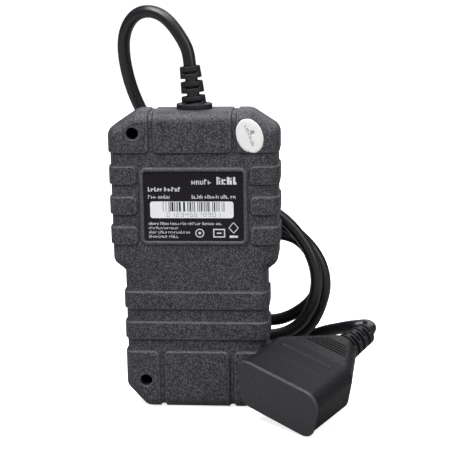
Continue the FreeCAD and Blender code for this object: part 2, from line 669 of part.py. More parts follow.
def cable():
    """The jacketed cable, one round section swept along a smooth path."""
    boot_end = size("shell_end + plug_boot_length")
    tail = [plug_axis_point(boot_end + lead) for lead in (2, -1, -9, -size("plug_boot_length") - 3)]
    points = [Vector(*spot) for spot in CABLE_POINTS] + tail
    lengths = [0.0]
    for before, after in zip(points, points[1:]):
        lengths.append(lengths[-1] + before.distanceToPoint(after))
    curve = Part.BSplineCurve()
    curve.interpolate(Points=points, Parameters=lengths)
    stretch = lengths[-1] / CABLE_STRETCHES
    built = None
    for i in range(CABLE_STRETCHES):
        piece = curve.copy()
        piece.segment(i * stretch, (i + 1) * stretch)
        swept = round_sweep(piece, size("cable_rad"))
        built = swept if built is None else built.fuse(swept)
    return raw("cable", built.Solids[0])


def relief_sleeve(name, low_rad, high_rad, length, slit_levels):
    """A tapered sleeve along +Z: slits front and rear, with notches at the sides between them."""
    sleeve = doc.addObject("Part::Cone", f"{name}_cone")
    sleeve.setExpression("Radius1", bound(low_rad))
    sleeve.setExpression("Radius2", bound(high_rad))
    sleeve.setExpression("Height", bound(length))
    rows = slit_levels * 2 - 1
    pieces = []
    for row in range(rows):
        level = f"({length}) * {row + 0.65} / {rows + 0.5}"
        sideways = row % 2 == 1
        web = "strip_half" if sideways else "web_half"
        high = "gap_high" if sideways else "slit_high"
        for side in (-1, 1):
            notch = doc.addObject("Part::Box", f"{name}_notch")
            notch.setExpression("Length", bound("notch_deep" if sideways else "notch_wide"))
            notch.setExpression("Width", bound("notch_wide" if sideways else "notch_deep"))
            notch.setExpression("Height", bound(high))
            outside = f"{side} * ({web} + notch_deep / 2) - notch_deep / 2"
            across = outside if sideways else "-notch_wide / 2"
            along = "-notch_wide / 2" if sideways else outside
            notch.setExpression("Placement.Base.x", bound(across))
            notch.setExpression("Placement.Base.y", bound(along))
            notch.setExpression("Placement.Base.z", bound(f"{level} - ({high}) / 2"))
            pieces.append(notch)
    return cut(f"{name}_ribbed", sleeve, group(f"{name}_notches", pieces))


def disc_stack(name, rings):
    """Round slabs one above another along +Z, each radius, low z, high z, fused into one."""
    built = None
    for index, (radius, low_z, high_z) in enumerate(rings, start=1):
        disc = doc.addObject("Part::Cylinder", f"{name}_disc_{index}")
        disc.setExpression("Radius", bound(radius))
        disc.setExpression("Height", bound(f"({high_z}) - ({low_z})"))
        disc.setExpression("Placement.Base.z", bound(low_z))
        built = disc if built is None else fuse(f"{name}_stack_{index}", built, disc)
    return built


def bored(label, body, radius, low_z, high_z):
    """Cuts the cable's way along the local Z axis."""
    bore = doc.addObject("Part::Cylinder", f"{label}_bore")
    bore.setExpression("Radius", bound(radius))
    bore.setExpression("Height", bound(f"({high_z}) - ({low_z})"))
    bore.setExpression("Placement.Base.z", bound(low_z))
    return cut(label, body, bore)


def handset_boot():
    """The handset's boot: a collar clamped in the top end and a ribbed sleeve leaning with the cable."""
    collar = disc_stack("collar", [
        ("boot_inner_rad", "-(case_rise + case_wall) - 1.8", "-(case_rise + case_wall)"),
        ("boot_neck_rad", "-(case_rise + case_wall) - 1", "boot_flange_high / 2"),
        ("boot_flange_rad", "0", "boot_flange_high"),
    ])
    sleeve = relief_sleeve("boot", "boot_low_rad", "boot_high_rad", "boot_length", 3)
    sleeve = bored("boot_sleeve", sleeve, "boot_bore", "-1", "boot_length + 1")
    sleeve.Placement = Placement(Vector(0, 0, size("boot_flange_high - 1")),
                                 Rotation(Vector(0, 1, 0), -size("boot_lean")))
    collar = bored("boot_collar", collar, "boot_collar_bore", "-8", "boot_flange_high + 1")
    whole = fuse("cable_boot", collar, sleeve)
    whole.setExpression("Placement.Base.z", bound("case_top"))
    return whole


# ---------------------------------------------------------------- diagnostic plug, in its own frame

def face_points(grow):
    """The plug's D-shaped section, larger all round by grow."""
    top = f"face_top_half + ({grow})"
    low = f"face_low_half + ({grow})"
    high = f"face_half_high + {grow}"
    return [(f"-({low})", f"-({high})"), (low, f"-({high})"), (top, high), (f"-({top})", high)]


def face_slab(body, grow, low_y, high_y):
    slab(body, lambda sketch: outline(sketch, face_points(grow), f"face_round + {grow}"), low_y, high_y)


def face_cut(body, grow, low_y, high_y):
    cut_slab(body, lambda sketch: outline(sketch, face_points(grow), f"face_round + {grow}"), low_y, high_y)


def plug_dust_cap():
    """The cap over the pins: a plate on the face and a shallow ring that grips inside the shroud."""
    body = new_body("plug_dust_cap")
    inner = "-(shroud_wall + cap_gap)"
    face_slab(body, "cap_overhang", "-cap_flange", "0")
    round_rims(body, ("-cap_flange",), "cap_overhang")
    face_slab(body, inner, "-cap_flange / 2", "cap_ring")
    face_cut(body, f"{inner} - cap_wall", "0", "cap_ring + 1")
    return body


def carrier_box(grow):
    return (f"-(carrier_half + {grow})", f"carrier_half + {grow}", f"-(carrier_high + {grow})",
            f"carrier_high + {grow}", "1")


def plug_shroud():
    """The D-shaped shell: open at the face, a thick rear wall with the carrier's window through it."""
    body = new_body("plug_shroud")
    face_slab(body, "0", "0", "shroud_end")
    face_cut(body, "-shroud_wall", "-1", "cavity_end")
    cut_slab(body, rectangles(carrier_box("0.05")), "cavity_end - 1", "shroud_end + 1")
    mark = block("shroud_mark", rectangles(("-mark_half", "mark_half", "face_half_high - mark_deep",
                                            "face_half_high + 1")), "mark_start", "mark_end")
    return cut("plug_shroud_marked", body, mark)


def pin_spots():
    """Two rows of eight, either side of the plug's middle."""
    return [(f"({i} - 3.5) * pin_pitch", f"{row} * pin_row") for row in (-1, 1) for i in range(8)]


def pin_boxes(grow):
    return [(f"{x} - pin_wide / 2 - {grow}", f"{x} + pin_wide / 2 + {grow}",
             f"{z} - pin_thick / 2 - {grow}", f"{z} + pin_thick / 2 + {grow}") for x, z in pin_spots()]


def pin_carrier():
    body = block("pin_carrier", rectangles(carrier_box("0")), "carrier_start", "carrier_end")
    cut_slab(body, rectangles(*pin_boxes("0.03")), "carrier_start - 1", "carrier_end + 1")
    return body


def shell_section(body, top_half, half_z, corner, y, low_half):
    """One rounded section of the backshell at a distance y behind the face."""
    sketch = new_sketch(body, "XZ_Plane", f"-({y})")
    outline(sketch, [(f"-({low_half})", f"-({half_z})"), (low_half, f"-({half_z})"), (top_half, half_z),
                     (f"-({top_half})", half_z)], corner)
    return sketch


def shell_loft(name, inset, first_y, last_y):
    """The tapering backshell as a solid, in from its surface by inset."""
    body = new_body(name)
    grown = f"-({inset})"
    stations = [
        # half width at the top, half height, distance behind the face, half width at the bottom
        ("face_top_half", "face_half_high", first_y, "face_low_half"),
        ("shell_mid_half", "shell_mid_high", "shell_mid", "shell_mid_half - 1.5"),
        ("shell_end_half", "shell_end_high", last_y, "shell_end_half - 0.6"),
    ]
    sections = [shell_section(body, f"{top} {grown}", f"{high} {grown}", f"face_round {grown}", y,
                              f"{low} {grown}") for top, high, y, low in stations]
    loft = body.newObject("PartDesign::AdditiveLoft", "Taper")
    loft.Profile = sections[0]
    loft.Sections = sections[1:]
    loft.Ruled = True
    doc.recompute()
    return body


GROOVES = 5


def plug_backshell():
    """The tapering grip: hollow, grooved across its top shoulder, with the cable's way behind."""
    shell = cut("backshell_hollow", shell_loft("backshell_outer", "0", "shroud_end", "shell_end"),
                shell_loft("backshell_inner", "shell_wall", "shroud_end - 0.01", "shell_end - shell_wall"))
    grooves = []
    for i in range(GROOVES):
        groove = doc.addObject("Part::Box", f"groove_{i + 1}")
        groove.setExpression("Length", bound(f"groove_right - groove_left - {i} * groove_step"))
        groove.setExpression("Width", bound("groove_wide"))
        groove.setExpression("Height", "5")
        groove.setExpression("Placement.Base.x", bound(f"groove_left + {i} * groove_lead"))
        groove.setExpression("Placement.Base.y", bound(f"groove_first + {i} * groove_pitch"))
        groove.setExpression("Placement.Base.z",
                             bound(f"face_half_high - groove_drop - groove_deep - {i} * groove_fall"))
        grooves.append(groove)
    shell = cut("backshell_grooved", shell, group("backshell_grooves", grooves))
    way = doc.addObject("Part::Cylinder", "backshell_way")
    way.setExpression("Radius", bound("boot_bore"))
    way.setExpression("Height", bound("shell_wall + 4"))
    way.Placement = Placement(Vector(0, size("shell_end + 2"), 0), Rotation(Vector(1, 0, 0), 90))
    return cut("plug_backshell", shell, way)


def plug_boot():
    """The ribbed boot behind the plug, turned so that its length runs along the plug's Y axis."""
    sleeve = relief_sleeve("plug_sleeve", "plug_boot_low_rad", "plug_boot_high_rad", "plug_boot_length", 4)
    boot = bored("plug_boot", sleeve, "boot_bore", "-1", "plug_boot_length + 1")
    seated = Placement(Vector(0, size("shell_end"), 0), Rotation(Vector(1, 0, 0), -90))
    boot.Placement = plug_place().multiply(seated)
    return boot


def sweep(label, points, radius):
    """A round wire along a smooth curve through the points."""
    curve = Part.BSplineCurve()
    curve.interpolate([Vector(*point) for point in points])
    return raw(label, round_sweep(curve, size(radius)))


WIRES = 5


def handset_wires():
    """Wires fanned from the end of the jacket down to the connector on the board."""
    start_z = size("cable_end_z - wire_rad - 0.05")
    end_z = size("cable_plug_high_z + 0.3")
    wires = []
    for i in range(WIRES):
        side = i - WIRES // 2
        wires.append(sweep(f"handset_wire_{i + 1}", [
            (side * 1.2, 0, start_z), (side * 1.9, -2.2, start_z - 0.9), (side * 2.6, -3.3, start_z - 1.9),
            (side * 2.8, -3.5, end_z),
        ], "wire_rad"))
    return group("handset_wires", wires)


def plug_wires():
    """Wires from the jacket's end inside the backshell to the rear of the pin carrier."""
    start_y = size("shell_end") - 3.1
    wires = []
    for i in range(WIRES):
        side = i - WIRES // 2
        wires.append(sweep(f"plug_wire_{i + 1}", [
            (side * 0.8, start_y, 0), (side * 1.8, start_y - 4, 0), (side * 4.2, start_y - 10, 0),
            (side * 5.0, size("carrier_end") + 0.05, 0),
        ], "wire_rad"))
    return group("plug_wires", wires)


def plug_parts():
    place = plug_place()
    part(plug_dust_cap(), place)
    shroud = plug_shroud()
    shroud.Label = "plug_shroud_shell"
    part(shroud, place)
    part(pin_carrier(), place)
    part(boxes("contact_pins", pin_boxes("0"), "pin_start", "pin_end"), place)
    part(plug_backshell(), place)
    part(plug_wires(), place)
    part(plug_boot())


# ---------------------------------------------------------------- labels, fasteners and assembly

def seal_sticker():
    """The oval seal stuck over one of the upper screw holes."""
    oval = doc.addObject("Part::Ellipse", "seal_outline")
    oval.setExpression("MajorRadius", bound("seal_major"))
    oval.setExpression("MinorRadius", bound("seal_minor"))
    pressed = doc.addObject("Part::Extrusion", "seal_sticker")
    pressed.Base = oval
    pressed.Dir = Vector(0, 0, 1)
    pressed.setExpression("LengthFwd", bound("sticker_thick"))
    pressed.Solid = True
    upright = Rotation(Vector(1, 0, 0), 90)
    pressed.Placement = Placement(Vector(size("seal_x"), -size("case_depth"), size("seal_z")),
                                  Rotation(Vector(0, 1, 0), size("seal_tilt")).multiply(upright))
    doc.recompute()
    return pressed


def handset_parts():
    part(back_cover())
    part(front_cover())
    skin = "-(case_depth - case_rise - label_sink)"
    part(block("rating_label", rectangles(label_box("0")), f"{skin} - label_thick", skin))
    serial_box = ("-serial_left", "serial_right", "serial_low_z", "serial_high_z", "1")
    part(block("serial_sticker", rectangles(serial_box), f"{skin} - label_thick - sticker_thick",
               f"{skin} - label_thick"))
    part(seal_sticker())
    part(screws("case_screws", SCREW_SPOTS, "screw_seat_y", "screw_tip_y", "head_rad", "head_high",
                "shank_rad"))
    part(screws("board_screws", BOARD_SPOTS, "board_back_y", "screw_tip_y", "board_head_rad", "0.9",
                "board_screw_rad"))
    part(cable_clamp())
    part(screws("clamp_screws", CLAMP_SPOTS, "-clamp_thick", "screw_tip_y", "board_head_rad", "0.9",
                "board_screw_rad"))
    for name in KEYS:
        part(key(name))


def cable_parts():
    part(handset_boot())
    part(cable())
    part(block("cable_plug", rectangles(("-7", "7", "99", "cable_plug_high_z")), "board_back_y - 4.2",
               "board_back_y - 1.0"))
    part(handset_wires())


handset_parts()
display_parts()
board_parts()
cable_parts()
plug_parts()
doc.recompute()

os.makedirs("parts", exist_ok=True)
for feature in doc.Objects:
    if {"Invalid", "Error"} & set(feature.State):
        raise RuntimeError(f"{feature.Label} did not build")
for feature in PARTS:
    shape = feature.Shape
    if shape.isNull() or not shape.isValid() or not shape.Solids:
        raise RuntimeError(f"{feature.Label} is not a valid solid")
    shape.exportStep(f"parts/{feature.Label}.step")
    print(feature.Label, len(shape.Solids), round(shape.Volume, 1))
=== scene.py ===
import math
import random

import bmesh
import bpy
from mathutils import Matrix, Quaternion, Vector
from mathutils.bvhtree import BVHTree


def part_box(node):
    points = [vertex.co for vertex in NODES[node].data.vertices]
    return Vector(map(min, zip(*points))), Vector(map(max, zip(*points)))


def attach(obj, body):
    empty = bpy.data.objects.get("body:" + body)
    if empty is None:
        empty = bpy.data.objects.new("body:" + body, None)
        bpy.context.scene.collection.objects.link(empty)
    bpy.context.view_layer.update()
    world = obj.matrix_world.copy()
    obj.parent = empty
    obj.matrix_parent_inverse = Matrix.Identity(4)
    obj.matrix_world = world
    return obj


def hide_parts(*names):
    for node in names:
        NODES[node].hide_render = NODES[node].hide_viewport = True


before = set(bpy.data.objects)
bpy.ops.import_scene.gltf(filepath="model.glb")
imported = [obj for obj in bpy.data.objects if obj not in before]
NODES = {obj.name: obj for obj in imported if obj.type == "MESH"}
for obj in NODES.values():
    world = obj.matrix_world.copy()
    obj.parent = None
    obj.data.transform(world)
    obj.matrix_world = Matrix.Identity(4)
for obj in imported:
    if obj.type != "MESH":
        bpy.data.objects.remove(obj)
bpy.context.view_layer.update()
MM = 0.001

# ---------------------------------------------------------------- materials


def srgb(r, g, b):
    """Display values 0 to 255 as linear colour."""
    def linear(v):
        v = v / 255
        return v / 12.92 if v <= 0.04045 else ((v + 0.055) / 1.055) ** 2.4
    return (linear(r), linear(g), linear(b), 1.0)


def scaled(colour, share):
    """A colour made lighter or darker by a share."""
    return tuple(min(1.0, share * c) for c in colour[:3]) + (1.0,)


class Graph:
    """A small helper around one material's node tree."""

    def __init__(self, name):
        self.material = bpy.data.materials.new(name)
        self.material.use_nodes = True
        self.tree = self.material.node_tree
        self.shader = self.tree.nodes["Principled BSDF"]
        self.coords = self.tree.nodes.new("ShaderNodeTexCoord").outputs["Object"]

    def add(self, kind, **values):
        node = self.tree.nodes.new(kind)
        for key, value in values.items():
            setattr(node, key, value)
        return node

    def link(self, source, target):
        self.tree.links.new(source, target)

    def noise(self, feature_mm, detail=2.0, rough=0.5, coords=None):
        """Noise whose features are about feature_mm across."""
        node = self.add("ShaderNodeTexNoise")
        node.inputs["Scale"].default_value = 1 / (feature_mm * MM)
        node.inputs["Detail"].default_value = detail
        node.inputs["Roughness"].default_value = rough
        self.link(coords or self.coords, node.inputs["Vector"])
        return node.outputs["Fac"]

    def voronoi(self, feature_mm, feature="F1"):
        node = self.add("ShaderNodeTexVoronoi", feature=feature)
        node.inputs["Scale"].default_value = 1 / (feature_mm * MM)
        self.link(self.coords, node.inputs["Vector"])
        return node.outputs["Distance"]

    def remap(self, source, low, high, out_low, out_high):
        node = self.add("ShaderNodeMapRange")
        self.link(source, node.inputs["Value"])
        limits = {"From Min": low, "From Max": high, "To Min": out_low, "To Max": out_high}
        for name, value in limits.items():
            node.inputs[name].default_value = value
        return node.outputs["Result"]

    def mix(self, factor, first, second):
        node = self.add("ShaderNodeMix", data_type="RGBA")
        self.link(factor, node.inputs["Factor"])
        for socket, value in (("A", first), ("B", second)):
            target = [i for i in node.inputs if i.name == socket and i.type == "RGBA"][0]
            if isinstance(value, tuple):
                target.default_value = value
            else:
                self.link(value, target)
        return [o for o in node.outputs if o.type == "RGBA"][0]

    def math(self, operation, first, second):
        node = self.add("ShaderNodeMath", operation=operation)
        for slot, value in enumerate((first, second)):
            if isinstance(value, (int, float)):
                node.inputs[slot].default_value = value
            else:
                self.link(value, node.inputs[slot])
        return node.outputs["Value"]

    def bump(self, height, distance_mm, strength=1.0, after=None):
        node = self.add("ShaderNodeBump")
        node.inputs["Strength"].default_value = strength
        node.inputs["Distance"].default_value = distance_mm * MM
        self.link(height, node.inputs["Height"])
        if after is not None:
            self.link(after, node.inputs["Normal"])
        self.link(node.outputs["Normal"], self.shader.inputs["Normal"])
        return node.outputs["Normal"]

    def set(self, **values):
        for key, value in values.items():
            socket = self.shader.inputs[key.replace("_", " ")]
            if isinstance(value, (int, float, tuple)):
                socket.default_value = value
            else:
                self.link(value, socket)


# how far across a groove is felt for its painted shade, in metres, and how many rays feel for it
HOLLOW_REACH = 0.0016
HOLLOW_SAMPLES = 8


def grained_plastic(name, colour, bright, grain_mm, depth_mm, rough, specular, edge_highlight=1.4, groove_shade=0.0):
    """Moulded plastic with a spark-eroded grain and bright specks, painted shade in its creases and a
    painted highlight on its edges.

    The edge factor is how much lighter than the specks the painted highlight on convex edges is; the
    groove factor (0 to 1) is how dark the painted shade in narrow grooves is.
    """
    g = Graph(name)
    fine = g.noise(grain_mm, detail=3.0, rough=0.65)
    coarse = g.noise(grain_mm * 2.3, detail=1.0)
    wide = g.noise(14.0, detail=2.0)
    speck = g.remap(fine, 0.46, 0.62, 0.0, 1.0)
    tone = g.mix(speck, colour, bright)
    shade = g.remap(wide, 0.3, 0.7, 0.0, 0.25)
    tone = g.mix(shade, tone, scaled(colour, 0.8))
    curve = g.add("ShaderNodeNewGeometry").outputs["Pointiness"]
    # painted shade: concave creases are darkened by how hollow the surface curves
    tone = g.mix(g.remap(curve, 0.495, 0.45, 0.0, 0.85), tone, scaled(colour, 0.25))
    # painted highlight: convex edges are lightened by how sharply they curve
    tone = g.mix(g.remap(curve, 0.51, 0.56, 0.0, 0.6), tone, scaled(bright, edge_highlight))
    # painted shade: narrow grooves are darkened where the ambient occlusion finds them hidden
    if groove_shade:
        hollow = g.add("ShaderNodeAmbientOcclusion")
        hollow.samples = HOLLOW_SAMPLES
        hollow.inputs["Distance"].default_value = HOLLOW_REACH
        tone = g.mix(g.remap(hollow.outputs["AO"], 0.88, 0.5, 0.0, groove_shade), tone, scaled(colour, 0.08))
    g.set(Base_Color=tone, Roughness=g.remap(coarse, 0.3, 0.7, rough - 0.1, rough + 0.12))
    g.set(Specular_IOR_Level=specular)
    heights = g.math("ADD", g.math("MULTIPLY", fine, 0.7), g.math("MULTIPLY", coarse, 0.5))
    g.bump(heights, depth_mm)
    return g.material


def satin_plastic(name, colour, rough=0.42, specular=0.5):
    """Smooth moulded plastic: a faint mottle, a very fine grain and slightly uneven gloss."""
    g = Graph(name)
    wide = g.noise(6.0, detail=4.0)
    fine = g.noise(0.22, detail=2.0)
    tone = g.mix(g.remap(wide, 0.3, 0.7, 0.0, 1.0), colour, scaled(colour, 1.25))
    g.set(Base_Color=tone, Specular_IOR_Level=specular)
    g.set(Roughness=g.remap(wide, 0.3, 0.7, rough - 0.06, rough + 0.06))
    g.bump(fine, 0.02)
    return g.material


def soft_rubber(name, colour, rough=0.5, specular=0.5):
    """Rubber or silicone: matt mottle with fine dust in its grain."""
    g = Graph(name)
    wide = g.noise(3.5, detail=4.0)
    dust = g.voronoi(0.35)
    tone = g.mix(g.remap(wide, 0.35, 0.7, 0.0, 1.0), colour, scaled(colour, 1.35))
    g.set(Base_Color=tone, Specular_IOR_Level=specular)
    g.set(Roughness=g.remap(dust, 0.0, 0.6, rough - 0.08, rough + 0.08))
    g.bump(g.noise(0.3, detail=3.0), 0.015)
    return g.material


def bare_metal(name, colour, rough=0.3):
    """Plated or brushed metal with fine machining lines and slight staining."""
    g = Graph(name)
    stretched = g.add("ShaderNodeMapping")
    stretched.inputs["Scale"].default_value = (1.0, 1.0, 9.0)
    g.link(g.coords, stretched.inputs["Vector"])
    lines = g.noise(0.5, detail=4.0, coords=stretched.outputs["Vector"])
    stain = g.noise(2.0, detail=3.0)
    tone = g.mix(g.remap(stain, 0.35, 0.75, 0.0, 0.8), colour, scaled(colour, 0.6))
    g.set(Base_Color=tone, Metallic=1.0, Roughness=g.remap(lines, 0.3, 0.7, rough - 0.1, rough + 0.15))
    g.bump(lines, 0.01)
    return g.material


def glossy_label(name, colour):
    """A varnished label: smooth, with a very slight ripple and dusty specks."""
    g = Graph(name)
    wide = g.noise(9.0, detail=3.0)
    specks = g.remap(g.voronoi(0.9), 0.0, 0.06, 1.0, 0.0)
    tone = g.mix(specks, colour, tuple(min(1.0, c + 0.02) for c in colour[:3]) + (1.0,))
    g.set(Base_Color=tone, Roughness=g.remap(wide, 0.3, 0.7, 0.22, 0.34), Specular_IOR_Level=0.25)
    g.bump(wide, 0.05, strength=0.4)
    return g.material


def printed_paper(name, colour, rough=0.45):
    """White sticker stock: fibres, slight yellowing and a soft sheen."""
    g = Graph(name)
    fibres = g.noise(0.25, detail=4.0, rough=0.7)
    wide = g.noise(5.0, detail=2.0)
    tone = g.mix(g.remap(wide, 0.3, 0.7, 0.0, 1.0), colour, scaled(colour, 0.94))
    g.set(Base_Color=tone, Roughness=g.remap(fibres, 0.3, 0.7, rough - 0.08, rough + 0.1))
    g.bump(g.math("ADD", fibres, g.math("MULTIPLY", wide, 3.0)), 0.02)
    return g.material


def clear_lens(name):
    """The hard clear window over the display, with faint smears in its gloss."""
    g = Graph(name)
    smear = g.noise(7.0, detail=5.0)
    g.set(Base_Color=g.mix(smear, (0.9, 0.93, 0.95, 1.0), (0.8, 0.84, 0.88, 1.0)))
    g.set(Roughness=g.remap(smear, 0.35, 0.7, 0.02, 0.09), Transmission_Weight=1.0, IOR=1.3)
    g.bump(smear, 0.01, strength=0.3)
    return g.material


def lcd_surface(name):
    """The display's face: grey-green with the fine grid of its dots."""
    g = Graph(name)
    mottle = g.noise(9.0, detail=2.0)
    tone = g.mix(mottle, srgb(150, 163, 128), srgb(136, 150, 118))
    split = g.add("ShaderNodeSeparateXYZ")
    g.link(g.coords, split.inputs["Vector"])
    lines = []
    for axis in ("X", "Z"):
        wave = g.math("SINE", g.math("MULTIPLY", split.outputs[axis], math.tau / (0.33 * MM)), 0.0)
        lines.append(g.remap(wave, 0.82, 1.0, 0.0, 0.25))
    grid = g.math("MAXIMUM", *lines)
    g.set(Base_Color=g.mix(grid, tone, srgb(118, 130, 100)))
    g.set(Roughness=g.remap(mottle, 0.3, 0.7, 0.2, 0.32))
    return g.material


def solder_mask(name):
    """The board's lacquer: dark tracks under green, with lighter vias."""
    g = Graph(name)
    tracks = g.remap(g.voronoi(2.2, feature="DISTANCE_TO_EDGE"), 0.03, 0.08, 1.0, 0.0)
    tone = g.mix(tracks, srgb(24, 92, 52), srgb(38, 122, 70))
    vias = g.remap(g.voronoi(3.1), 0.08, 0.11, 1.0, 0.0)
    g.set(Base_Color=g.mix(vias, tone, srgb(176, 170, 120)), Roughness=g.remap(tracks, 0, 1, 0.3, 0.42))
    g.bump(tracks, 0.03)
    return g.material


CASE = srgb(35, 33, 38)
CASE_BRIGHT = srgb(106, 104, 111)
LOOKS = {
    "case": lambda: grained_plastic("case_plastic", CASE, CASE_BRIGHT, 0.42, 0.16, 0.5, 0.35),
    "label": lambda: glossy_label("label_gloss", srgb(26, 23, 29)),
    "paper": lambda: printed_paper("sticker_stock", srgb(242, 243, 247)),
    "seal": lambda: printed_paper("seal_stock", srgb(240, 240, 239)),
    "dark_steel": lambda: bare_metal("blackened_steel", srgb(26, 26, 28), rough=0.5),
    "steel": lambda: bare_metal("plated_steel", srgb(190, 190, 195)),
    "brass": lambda: bare_metal("gilt_contact", srgb(214, 186, 112), rough=0.22),
    "tin": lambda: bare_metal("tin_can", srgb(200, 201, 206), rough=0.25),
    "lens": lambda: clear_lens("lens_clear"),
    "lcd": lambda: lcd_surface("lcd_face"),
    "board": lambda: solder_mask("board_lacquer"),
    "cable": lambda: soft_rubber("cable_jacket", srgb(18, 17, 22), rough=0.27, specular=0.65),
    "boot": lambda: soft_rubber("boot_rubber", srgb(22, 20, 25), rough=0.5, specular=0.4),
    # the plug gets full painted shade in its grooves and the plain painted highlight on its edges
    "plug": lambda: grained_plastic("plug_plastic", srgb(17, 17, 21), srgb(31, 31, 36), 0.35, 0.04,
                                    0.5, 0.25, edge_highlight=1.0, groove_shade=1.0),
    # the cap is a lighter copy of the plug's dark plastic: painted light on the plug's front face
    "cap": lambda: grained_plastic("cap_plastic", srgb(50, 49, 54), srgb(72, 71, 77), 0.35, 0.04,
                                   0.46, 0.4),
    "chip": lambda: satin_plastic("chip_black", srgb(34, 34, 37)),
    "ivory": lambda: satin_plastic("connector_ivory", srgb(226, 220, 200)),
    "black": lambda: satin_plastic("frame_black", srgb(24, 24, 27)),
    "backlight": lambda: satin_plastic("backlight_white", srgb(236, 240, 236)),
    "ribbon": lambda: satin_plastic("ribbon_film", srgb(176, 112, 40), rough=0.3),
    "gasket": lambda: soft_rubber("gasket_foam", srgb(24, 24, 24), rough=0.8),
    "silicone": lambda: soft_rubber("silicone_grey", srgb(118, 120, 126), rough=0.6),
    "key_grey": lambda: soft_rubber("key_grey", srgb(150, 152, 158), rough=0.45),
    "key_green": lambda: soft_rubber("key_green", srgb(44, 140, 70), rough=0.45),
    "key_red": lambda: soft_rubber("key_red", srgb(186, 44, 38), rough=0.45),
    "wire_red": lambda: soft_rubber("wire_red", srgb(170, 40, 34), rough=0.4),
    "wire_blue": lambda: soft_rubber("wire_blue", srgb(44, 70, 160), rough=0.4),
    "ink": lambda: satin_plastic("black_ink", srgb(24, 24, 28), rough=0.5),
    "grey_ink": lambda: satin_plastic("grey_ink", srgb(128, 128, 134), rough=0.5),
    "pale_ink": lambda: satin_plastic("pale_ink", srgb(206, 205, 203), rough=0.5),
    "white_ink": lambda: satin_plastic("white_ink", srgb(205, 206, 212), rough=0.5),
}
NODE_LOOK = {
    "back_cover": "case", "front_cover": "case", "rating_label": "label", "serial_sticker": "paper",
    "seal_sticker": "seal", "case_screws": "dark_steel", "board_screws": "steel",
    "clamp_screws": "steel", "front_lens": "lens", "lens_gasket": "gasket", "lcd_frame": "black",
    "lcd_glass": "lcd", "lcd_backlight": "backlight", "lcd_ribbon": "ribbon",
    "ribbon_socket": "ivory", "main_board": "board",
    "processor_chip": "chip", "transceiver_chips": "chip", "memory_chip": "chip", "crystal": "tin",
    "capacitors": "tin", "buzzer": "black", "cable_header": "ivory", "cable_plug": "ivory",
    "snap_domes": "steel", "keypad_sheet": "silicone", "key_ok": "key_green", "key_back": "key_red",
    "key_up": "key_grey", "key_down": "key_grey", "key_left": "key_grey", "key_right": "key_grey",
    "key_help": "key_grey",
    "cable_boot": "boot", "cable": "cable", "cable_clamp": "black", "handset_wires": "wire_red",
    "plug_shroud_shell": "plug", "plug_backshell": "plug", "pin_carrier": "black",
    "contact_pins": "brass", "plug_wires": "wire_blue", "plug_boot": "boot", "plug_dust_cap": "cap",
}
made = {}


def look(name):
    """The material of that name, made once."""
    if name not in made:
        made[name] = LOOKS[name]()
    return made[name]


def paint(obj, name):
    obj.data.materials.clear()
    obj.data.materials.append(look(name))


# ---------------------------------------------------------------- CAD nodes: finish and softened edges


def soften(node, voxel_mm, rounds):
    """Rounds a moulded node's sharp edges without touching its mesh."""
    obj = NODES[node]
    remesh = obj.modifiers.new("Remesh", "REMESH")
    remesh.mode = "VOXEL"
    remesh.voxel_size = voxel_mm * MM * 1.0
    remesh.use_smooth_shade = True
    smooth = obj.modifiers.new("Smooth", "SMOOTH")
    smooth.factor = 0.5
    smooth.iterations = rounds


def smooth_by_angle(obj, degrees=32):
    """Smooth shading, with edges sharper than the angle kept."""
    bpy.context.view_layer.objects.active = obj
    obj.select_set(True)
    bpy.ops.object.shade_smooth_by_angle(angle=math.radians(degrees))
    obj.select_set(False)


for node, finish in NODE_LOOK.items():
    paint(NODES[node], finish)

SOFTENED = {
    # node: voxel size in mm, smoothing rounds
    "back_cover": (0.3, 3), "front_cover": (0.4, 2), "cable_boot": (0.2, 2), "plug_boot": (0.2, 2),
    "plug_backshell": (0.2, 2), "plug_shroud_shell": (0.25, 3), "plug_dust_cap": (0.25, 2),
}
for node, (voxel, rounds) in SOFTENED.items():
    soften(node, voxel, rounds)
for node, obj in NODES.items():
    if node not in SOFTENED:
        smooth_by_angle(obj)

# ---------------------------------------------------------------- small printed and moulded details


def new_piece(name, build, finish, body):
    """A mesh piece filled in by build(bmesh), riding on a body."""
    mesh = bpy.data.meshes.new(name)
    bm = bmesh.new()
    build(bm)
    bmesh.ops.recalc_face_normals(bm, faces=bm.faces)
    bm.to_mesh(mesh)
    bm.free()
    obj = bpy.data.objects.new(name, mesh)
    bpy.context.scene.collection.objects.link(obj)
    paint(obj, finish)
    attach(obj, body)
    return obj


def prism(bm, loop, offset):
    """A closed prism from a planar loop of points pushed by offset."""
    low = [bm.verts.new(p) for p in loop]
    high = [bm.verts.new(Vector(p) + offset) for p in loop]
    bm.faces.new(low)
    bm.faces.new(high)
    count = len(loop)
    for i in range(count):
        bm.faces.new((low[i], low[(i + 1) % count], high[(i + 1) % count], high[i]))


